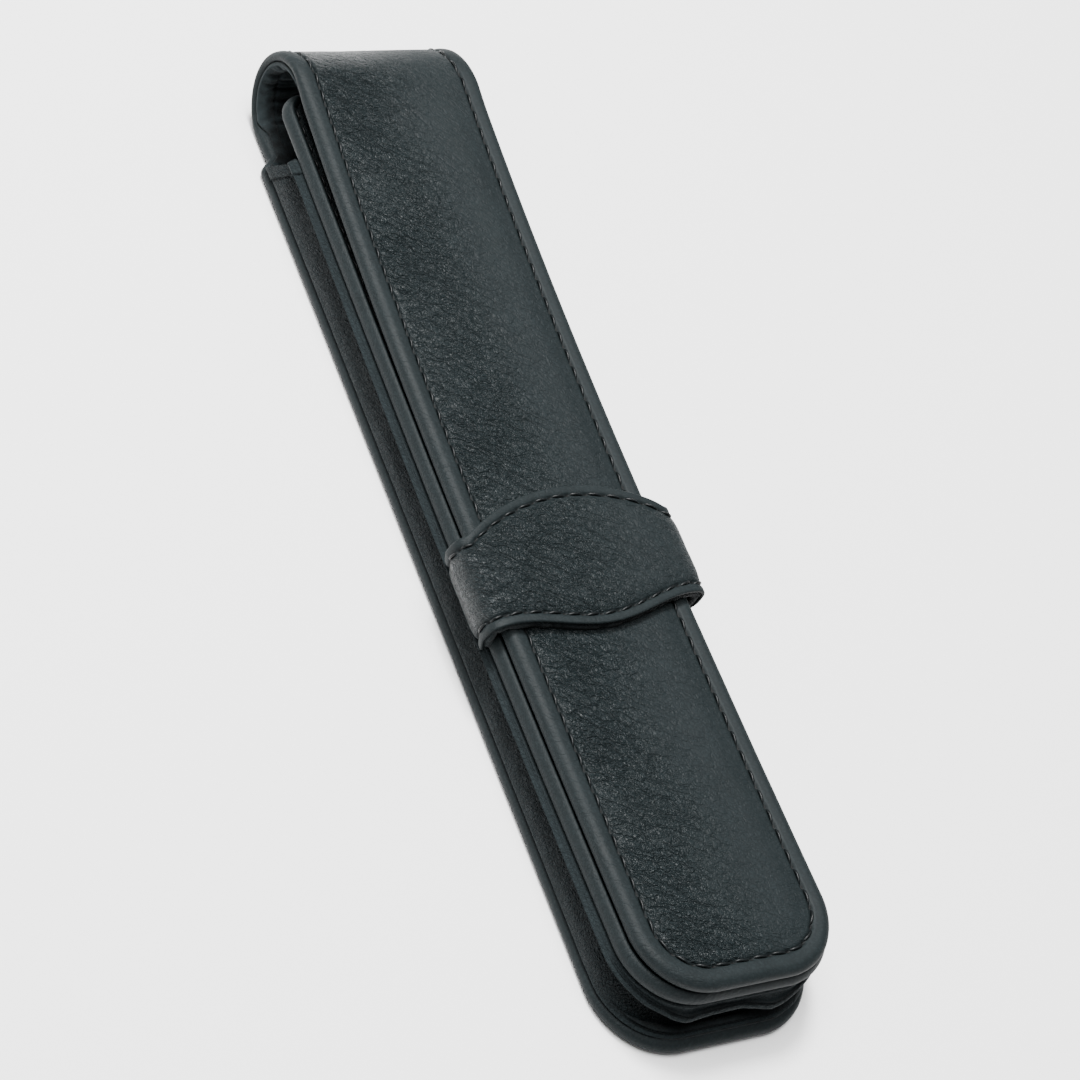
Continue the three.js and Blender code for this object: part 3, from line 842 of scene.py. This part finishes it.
def add_hide_stitches():
    """The flap's seam is cut up at the bends, like the leather under it, and ends on the back."""
    places = (np.arange(flap_seam.stitches) + 0.5) * flap_seam.pitch
    s = np.interp(places, flap_seam.along, flap_seam.s)
    names = ["back_end_stitches", *(piece.format("stitches") for piece in HIDE_PIECES[1:])]
    for index, name in enumerate(names):
        low, high = PIECE_LIMITS[index:index + 2]
        chosen = np.flatnonzero((s > low) & (s <= high))
        runs = np.split(chosen, np.flatnonzero(np.diff(chosen) > 1) + 1)
        points, faces = [], []
        for run in runs:
            some, more = stitch_mesh(flap_seam, lay_hide, run[0], run[-1] + 1, SEAM_DEPTH)
            faces += [[i + sum(map(len, points)) for i in face] for face in more]
            points.append(some)
        obj = make_object(name, np.concatenate(points), faces, THREAD)
        place_hide_piece(obj, index, ["flap_stitching"] if index == 4 else [])
    add_stitches("back_stitches", back_seam, lay_hide, 0.3, "back_stitching")


add_hide()
add_hide_lining()
add_hide_stitches()


# ---- Front panel ----

FRONT_REACH = 4.1
FRONT_COLUMNS = 30
FRONT_LINING_DEPTH = 2.56
# The front's leather is from another part of the skin than the hide, this far to the side.
FRONT_SHIFT = 60


def front_relief(x, y, distance):
    within = smooth(distance, PANEL_SEAM + 0.2, PANEL_SEAM + 3)
    swollen_edge = 0.5 * np.exp(-((distance - 0.9) / 0.7) ** 2)
    waves = 0.08 * (value_noise(x / 5, y / 7, 33) - 0.5)
    return within * (0.05 * (1 - creases(x, y, 31)) - 0.12) + waves - swollen_edge


def front_lining_relief(x, y, distance):
    return 0.1 * (value_noise(x, y, 35) - 0.5)


def lay_front_lining(x, y, depth):
    return lay_front(x, y, FRONT_LINING_DEPTH - depth)


def add_front():
    half = lambda y: FRONT_HALF + 0 * y
    rows = even(FRONT_END_Y + FRONT_CORNER, FRONT_TOP_Y - MOUTH_CORNER, ROW_STEP)
    outline = Outline(half, FRONT_END_Y, FRONT_TOP_Y, FRONT_CORNER, MOUTH_CORNER, rows, FRONT_COLUMNS)
    seam = Seam(outline, PANEL_SEAM)
    section, outer = turned_section(FRONT_REACH, roll=2.2, skin=0.9, tuck=3.8, seam_inset=PANEL_SEAM)
    panel = Panel(outline, section, outer, [seam], front_relief)
    points, faces, _ = build_sheet(panel, lay_front)
    leather = make_object("front_leather", points, faces, CASE_LEATHER, panel.sheet(FRONT_SHIFT),
                          panel.grain(PANEL_SEAM))
    sew_to_pouch(leather, "case_leather", "front_outer")

    section, outer = slab_section(FRONT_REACH, inset=1.2, thick=0.36, seam_inset=PANEL_SEAM)
    lining = Panel(outline, section, outer, [], front_lining_relief)
    points, faces, _ = build_sheet(lining, lay_front_lining)
    suede = make_object("front_suede", points, faces, SUEDE, lining.sheet(FRONT_SHIFT))
    sew_to_pouch(suede, "lining_suede", "front_lining")

    add_stitches("front_stitches", seam, lay_front, SEAM_DEPTH, "front_stitching")


add_front()


# ---- Gusset: one strip round the left side, the end and the right side ----

class GussetPath:
    """The strip's way round the case. q is the distance along the back panel's outline from the middle of the
    end, less than 0 on the left."""

    def __init__(self, half, end, corner):
        self.half, self.end, self.corner = half, end, corner
        self.flat = BACK_HALF - BACK_CORNER
        self.bend = BACK_CORNER * math.pi / 2
        self.side = MOUTH_BACK_Y - (END_Y + BACK_CORNER)

    def at(self, q, mouth):
        """Place and outward direction at q, with the mouth at the given place along Y."""
        sign, q = np.sign(q), np.abs(q)
        flat_share = np.clip(q / self.flat, 0, 1)
        angle = np.clip((q - self.flat) / self.bend, 0, 1) * math.pi / 2
        side_share = np.clip((q - self.flat - self.bend) / self.side, 0, 1)
        x = (self.half - self.corner) * flat_share + self.corner * np.sin(angle)
        y = self.end + self.corner * (1 - np.cos(angle)) + (mouth - self.end - self.corner) * side_share
        return sign * x, y, sign * np.sin(angle), -np.cos(angle)


back_path = GussetPath(BACK_HALF, END_Y, BACK_CORNER)
front_path = GussetPath(FRONT_HALF, FRONT_END_Y, FRONT_CORNER)
MOUTH_FRONT_Y = 64.2
GUSSET_END_Q = back_path.flat + back_path.bend + back_path.side

# The section from the back panel up to the front panel, on the sides and at the end: how far each line lies
# outside the panels' outlines, and its share of the height between them. The fourth line from the last is the
# ridge, which sticks out under the front panel's edge.
SIDE_SECTION = [(-2.6, -0.06), (-0.5, -0.05), (-0.12, 0.03), (-0.4, 0.3), (-1.15, 0.62), (-1.1, 0.78),
                (0.75, 0.93), (0.2, 1.02), (-0.15, 1.13), (-2.6, 1.13)]
END_SECTION = [(-2.9, -0.06), (-1.7, -0.05), (-1.4, 0.0), (-3.8, 0.1), (-6.6, 0.34), (-5.4, 0.54),
               (-0.4, 0.64), (-0.95, 0.86), (0.1, 1.0), (-2.6, 1.08)]
SECTION_STEPS = [2, 5, 6, 7, 6, 5, 6, 4, 3]
RIDGE_STEP = sum(SECTION_STEPS[:6])
# How much of the end's shape the strip has at each distance from the middle of the end.
END_SHARE_AT = [0, 8, 12, 18, 23, 28]
END_SHARE = [1, 1, 0.8, 0.42, 0.15, 0]
# The ridge is pleated at the end: how strongly, at each q.
PLEAT_AT = [-13, -9, -4, 1, 6, 12]
PLEAT = [0, 0.55, 0.1, 0.0, 1, 0]


def gusset_section(q):
    """How far the strip's points at q lie outside the outlines, and their shares of the height."""
    weight = np.interp(abs(q), END_SHARE_AT, END_SHARE)
    pleat = np.interp(q, PLEAT_AT, PLEAT)
    lines = [(a[0] * (1 - weight) + b[0] * weight, a[1] * (1 - weight) + b[1] * weight)
             for a, b in zip(SIDE_SECTION, END_SECTION)]
    lines[6] = (lines[6][0] + 0.45 * pleat, lines[6][1] - 0.11 * pleat)
    lines[5] = (lines[5][0] + 0.2 * pleat, lines[5][1] - 0.06 * pleat)
    out, share = [], []
    softness = 1 - 0.8 * np.exp(-((np.arange(sum(SECTION_STEPS) + 1) - RIDGE_STEP) / 1.5) ** 2)
    for (a, b), steps in zip(zip(lines, lines[1:]), SECTION_STEPS):
        t = np.arange(steps) / steps
        out.append(a[0] + (b[0] - a[0]) * t)
        share.append(a[1] + (b[1] - a[1]) * t)
    out = np.append(np.concatenate(out), lines[-1][0])
    share = np.append(np.concatenate(share), lines[-1][1])
    for _ in range(3):
        for line in (out, share):
            eased = line.copy()
            eased[1:-1] = 0.25 * line[:-2] + 0.5 * line[1:-1] + 0.25 * line[2:]
            line[:] = line + (eased - line) * softness
    return out, share


def gusset_points(q, thickness, mouth_trim):
    """The strip's points at q, this far inside its outer face, and the distance across it to each."""
    out, share = gusset_section(q)
    mouth = MOUTH_BACK_Y + (MOUTH_FRONT_Y - MOUTH_BACK_Y) * share - mouth_trim
    along_q = np.full(len(out), q)
    back_x, back_y, out_x, out_y = back_path.at(along_q, mouth)
    front_x, front_y, _, _ = front_path.at(along_q, mouth)
    rough = 0.22 * (value_noise(q / 5 + 40, share * 3, 41) - 0.5)
    rough = rough + 0.1 * (value_noise(q / 1.6 + 90, share * 6, 42) - 0.5)
    hidden = smooth(share, 0.0, 0.15) * (1 - smooth(share, 0.85, 1.0))
    blend = np.clip(share, 0, 1)
    out = out + rough * hidden
    x = back_x * (1 - blend) + front_x * blend + out_x * out
    y = back_y * (1 - blend) + front_y * blend + out_y * out
    low = PANEL + 0.22
    high = front_height(y) - PANEL - 0.2
    z = low + (high - low) * share
    across_out, across_z = np.gradient(out), np.gradient(z)
    length = np.hypot(across_out, across_z) + 1e-9
    turn_out, turn_z = across_z / length, -across_out / length
    inward = np.stack([out_x * turn_out, out_y * turn_out, turn_z], axis=1)
    return np.stack([x, y, z], axis=1) - inward * thickness, lengths_along(out, z)


def gusset_strip(name, places, outer, inner, material, slot, node, mouth_trim=0.0):
    """A layer of the strip. Its grain is weak on the upper part and at its foot."""
    rings, sheets, grains = [], [], []
    for q in places:
        outside, run = gusset_points(q, outer, mouth_trim)
        inside, _ = gusset_points(q, inner, mouth_trim)
        rings.append(np.concatenate([outside, inside[::-1]]))
        both = np.append(run, run[::-1])
        sheets.append(np.stack([np.full(len(both), q), both, 0 * both], axis=1))
        lower = 1 - 0.8 * smooth(run / run[-1], 0.55, 0.7)
        foot = 0.15 + 0.85 * smooth(run, 2.2, 3.2)
        grains.append(np.append(lower * foot, (lower * foot)[::-1]))
    obj = sweep(name, np.array(rings), material, np.concatenate(sheets), np.concatenate(grains))
    sew_to_pouch(obj, slot, node)


def add_gusset():
    bend_q = back_path.flat + back_path.bend
    hem_q = 2.4
    middle = even(-bend_q - 3, bend_q + 3, 0.45)
    left = even(-GUSSET_END_Q, -bend_q - 3, 1.0)[:-1]
    places = np.concatenate([left, middle, -left[::-1]])
    gusset_strip("gusset_leather", places, 0.0, 0.7, GUSSET_LEATHER, "gusset_leather", "gusset_outer")
    gusset_strip("gusset_suede", places[1:-1], 0.76, 1.1, SUEDE, "lining_suede", "gusset_lining")
    for side, sign in (("left", -1), ("right", 1)):
        edge = sign * np.linspace(GUSSET_END_Q - hem_q, GUSSET_END_Q + 0.02, 7)
        gusset_strip(f"gusset_hem_{side}_turned", edge, -0.22, 1.25, GUSSET_LEATHER, "gusset_leather",
                     f"gusset_hem_{side}", mouth_trim=-0.15)


add_gusset()


# ---- Band across the front ----

class Band:
    """The band's arch over the flap, as a line that the leather is laid along. Its upper edge is bowed, its
    lower edge dips in the middle, and both run a little askew."""

    SQUARENESS = 7
    FOOT_TUCK = 1.1
    FOOT_HEIGHT = 3.2
    HALF = 18
    SKEW = 1.25
    HIGH_Y = -1.4
    BOW = 5.4
    LOW_Y = -22.0
    WAVE = 2.6
    WAVE_HALF = 17

    def __init__(self):
        turn = np.linspace(0, math.pi, 400)
        across, up = np.cos(turn), np.sin(turn)
        power = 2 / self.SQUARENESS
        x = -STRAP_HALF_SPAN * np.sign(across) * np.abs(across) ** power
        z = STRAP_FOOT_Z + (STRAP_TOP_Z - STRAP_FOOT_Z) * np.abs(up) ** power
        near_foot = 1 - smooth(z, STRAP_FOOT_Z, STRAP_FOOT_Z + self.FOOT_HEIGHT)
        x -= np.sign(x) * self.FOOT_TUCK * near_foot ** 1.5
        length = lengths_along(x, z)
        self.u = length - length[-1] / 2
        self.x, self.z = x, z
        self.half = length[-1] / 2
        out_x, out_z = -np.gradient(z), np.gradient(x)
        size = np.hypot(out_x, out_z)
        self.out_x, self.out_z = out_x / size, out_z / size

    def low(self, x):
        x = np.clip(x, -self.HALF, self.HALF)
        wave = np.where(np.abs(x) < self.WAVE_HALF, np.cos(math.pi * x / (2 * self.WAVE_HALF)) ** 2, 0)
        return self.LOW_Y - self.WAVE * wave + self.SKEW * x / self.HALF

    def high(self, x):
        x = np.clip(x, -self.HALF, self.HALF)
        return self.HIGH_Y - self.BOW * (x / self.HALF) ** 2 + self.SKEW * x / self.HALF

    def lay(self, u, y, depth):
        value = lambda array: np.interp(u, self.u, array)
        x, z = value(self.x) - value(self.out_x) * depth, value(self.z) - value(self.out_z) * depth
        return np.stack(np.broadcast_arrays(x, y, z), axis=-1)


class BandSeam:
    """A seam along one of the band's edges."""

    TRIM = 2.2

    def __init__(self, band, edge, inset):
        self.x = np.linspace(-band.half + self.TRIM, band.half - self.TRIM, 240)
        self.s = edge(np.interp(self.x, band.u, band.x)) + inset
        self.along = lengths_along(self.x, self.s)
        self.stitches = round(self.along[-1] / STITCH_PITCH)
        self.pitch = self.along[-1] / self.stitches
        self.side = np.sign(-inset)

    def at(self, along, lateral):
        x, s = np.interp(along, self.along, self.x), np.interp(along, self.along, self.s)
        return x, s + self.side * lateral


# Its channels and holes, as in SEAM_DENT.
BAND_DENT = (0.24, 0.4, 0.32)
# The band's leather is from another part of the skin than the hide, this far along it.
BAND_SHIFT = 200


def band_section(width, thickness):
    """The section of a layer, with round edges, as distances from its low edge and depths."""
    ease = min(0.45, thickness / 2)
    near = np.concatenate([[0.5, 0.8], np.linspace(STRAP_SEAM - 0.5, STRAP_SEAM + 0.5, 7), [2.6, 3.2]])
    turn = np.linspace(0, math.pi, 9)
    low_edge = [(ease * (1 - math.sin(a)), thickness / 2 * (1 + math.cos(a))) for a in turn]
    high_edge = [(width - d, depth) for d, depth in low_edge[::-1]]
    face = [(d, 0.0) for d in (*near, *np.linspace(3.9, width - 3.9, 24), *(width - near[::-1]))]
    return np.array(low_edge + face + high_edge + [(width * 0.66, thickness), (width * 0.33, thickness)]).T


def add_band_layer(name, band, top, thickness, material, slot, node, seams, trim, rough):
    """One layer of the band, dented along its seams, with roughly cut edges."""
    u = even(-band.half + trim, band.half - trim, 0.36)
    x = np.interp(u, band.u, band.x)
    rings, sheets, grain = [], [], []
    for place, low, high in zip(u, band.low(x), band.high(x)):
        distance, depth = band_section(high - low, thickness)
        y = low + distance
        from_edge = np.minimum(distance, high - low - distance)
        on_face = depth < thickness * 0.3
        dent = 0 * depth
        for seam in seams:
            nearest = to_hole(seam, np.interp(place, seam.x, seam.along))
            off_line = y - np.interp(place, seam.x, seam.s)
            dent = dent + on_face * stitch_dent(off_line, nearest, *BAND_DENT)
        within = smooth(from_edge, 1.7, 4.0)
        left = 0.4 + 0.6 * smooth(-place, -4, 12)
        crease = 0.09 * left * (1 - creases(y, place * np.ones(len(y)), 51))
        depth = depth + dent + on_face * within * (crease - 0.2)
        y = y + rough * (value_noise(place / 0.8, 0 * y, 55) - 0.5) * (from_edge < 0.8)
        along = np.full(len(y), place)
        rings.append(band.lay(along, y, top + depth))
        sheets.append(np.stack([along, BAND_SHIFT - y, depth], axis=1))
        pressed = 0.12 + 0.88 * smooth(from_edge, 1.5, 2.6)
        # Below 0 this grain is painted shade in the seams' channels and holes.
        grain.append(with_painted_hole_shade(pressed * (0.4 + 0.6 * smooth(-place, -10, 4)), dent))
    obj = sweep(name, np.array(rings), material, np.concatenate(sheets), np.concatenate(grain))
    sew_to_pouch(obj, slot, node)


def add_band():
    band = Band()
    seams = {"upper": BandSeam(band, band.high, -STRAP_SEAM), "lower": BandSeam(band, band.low, STRAP_SEAM)}
    add_band_layer("band_leather", band, 0, 0.6, CASE_LEATHER, "case_leather", "strap_outer", seams.values(),
                   trim=0.0, rough=0.0)
    add_band_layer("band_backing", band, 0.64, 1.45, SUEDE, "lining_suede", "strap_lining", [],
                   trim=0.1, rough=0.3)
    for where, seam in seams.items():
        add_stitches(f"band_stitches_{where}", seam, band.lay, SEAM_DEPTH, f"strap_stitching_{where}")


add_band()


# ---- Stiffener boards keep their CAD shape ----

for node in ("back_board", "front_board", "flap_filler"):
    board = frame["nodes"][node]
    board.data.materials.clear()
    board.data.materials.append(BOARD)


# ---- Floor, lights and camera ----

LIT_PLACE = Vector((0, 0, 0.01))


def add_floor():
    material, _, shader = new_material("floor")
    shader.inputs["Base Color"].default_value = (0.96, 0.96, 0.96, 1)
    shader.inputs["Roughness"].default_value = 0.9
    size = 3.0
    mesh = bpy.data.meshes.new("floor")
    corners = [(-size, -size, 0), (size, -size, 0), (size, size, 0), (-size, size, 0)]
    mesh.from_pydata(corners, [], [(0, 1, 2, 3)])
    floor = bpy.data.objects.new("floor", mesh)
    floor.data.materials.append(material)
    bpy.context.scene.collection.objects.link(floor)


def add_light(name, location, size, power):
    data = bpy.data.lights.new(name, "AREA")
    data.shape = "DISK"
    data.size = size
    data.energy = power
    light = bpy.data.objects.new(name, data)
    light.location = location
    light.rotation_mode = "QUATERNION"
    light.rotation_quaternion = (LIT_PLACE - Vector(location)).to_track_quat("-Z", "Y")
    bpy.context.scene.collection.objects.link(light)


def add_lights():
    world = bpy.data.worlds.new("studio")
    world.use_nodes = True
    background = world.node_tree.nodes["Background"]
    background.inputs["Color"].default_value = (1, 1, 1, 1)
    background.inputs["Strength"].default_value = 0.3
    bpy.context.scene.world = world
    add_light("key", (-0.10, 0.40, 0.86), 0.2, 17)
    add_light("soft", (-0.2, 0.2, 1.0), 0.9, 27)


def add_camera():
    """The camera stands above the left side, and is rolled so that the case lies diagonally."""
    azimuth, elevation, roll, half_view = map(math.radians, (-38.06, -24.65, -22.82, 11.48))
    target = Vector((-3.99, -8.17, 11.80)) * MM
    distance = 387 * MM
    toward = Vector((math.sin(azimuth) * math.cos(elevation), math.sin(elevation),
                     math.cos(azimuth) * math.cos(elevation)))
    right = (-toward).cross(Vector((0, 1, 0))).normalized()
    up = right.cross(-toward)
    camera_right = math.cos(roll) * right + math.sin(roll) * up
    camera_up = -math.sin(roll) * right + math.cos(roll) * up
    data = bpy.data.cameras.new("camera")
    data.sensor_width = 36
    data.lens = data.sensor_width / 2 / math.tan(half_view)
    data.clip_start, data.clip_end = 0.01, 20
    camera = bpy.data.objects.new("camera", data)
    turned = Matrix((camera_right, camera_up, toward)).transposed()
    camera.matrix_world = Matrix.Translation(target + toward * distance) @ turned.to_4x4()
    bpy.context.scene.collection.objects.link(camera)
    bpy.context.scene.camera = camera


add_floor()
add_lights()
add_camera()
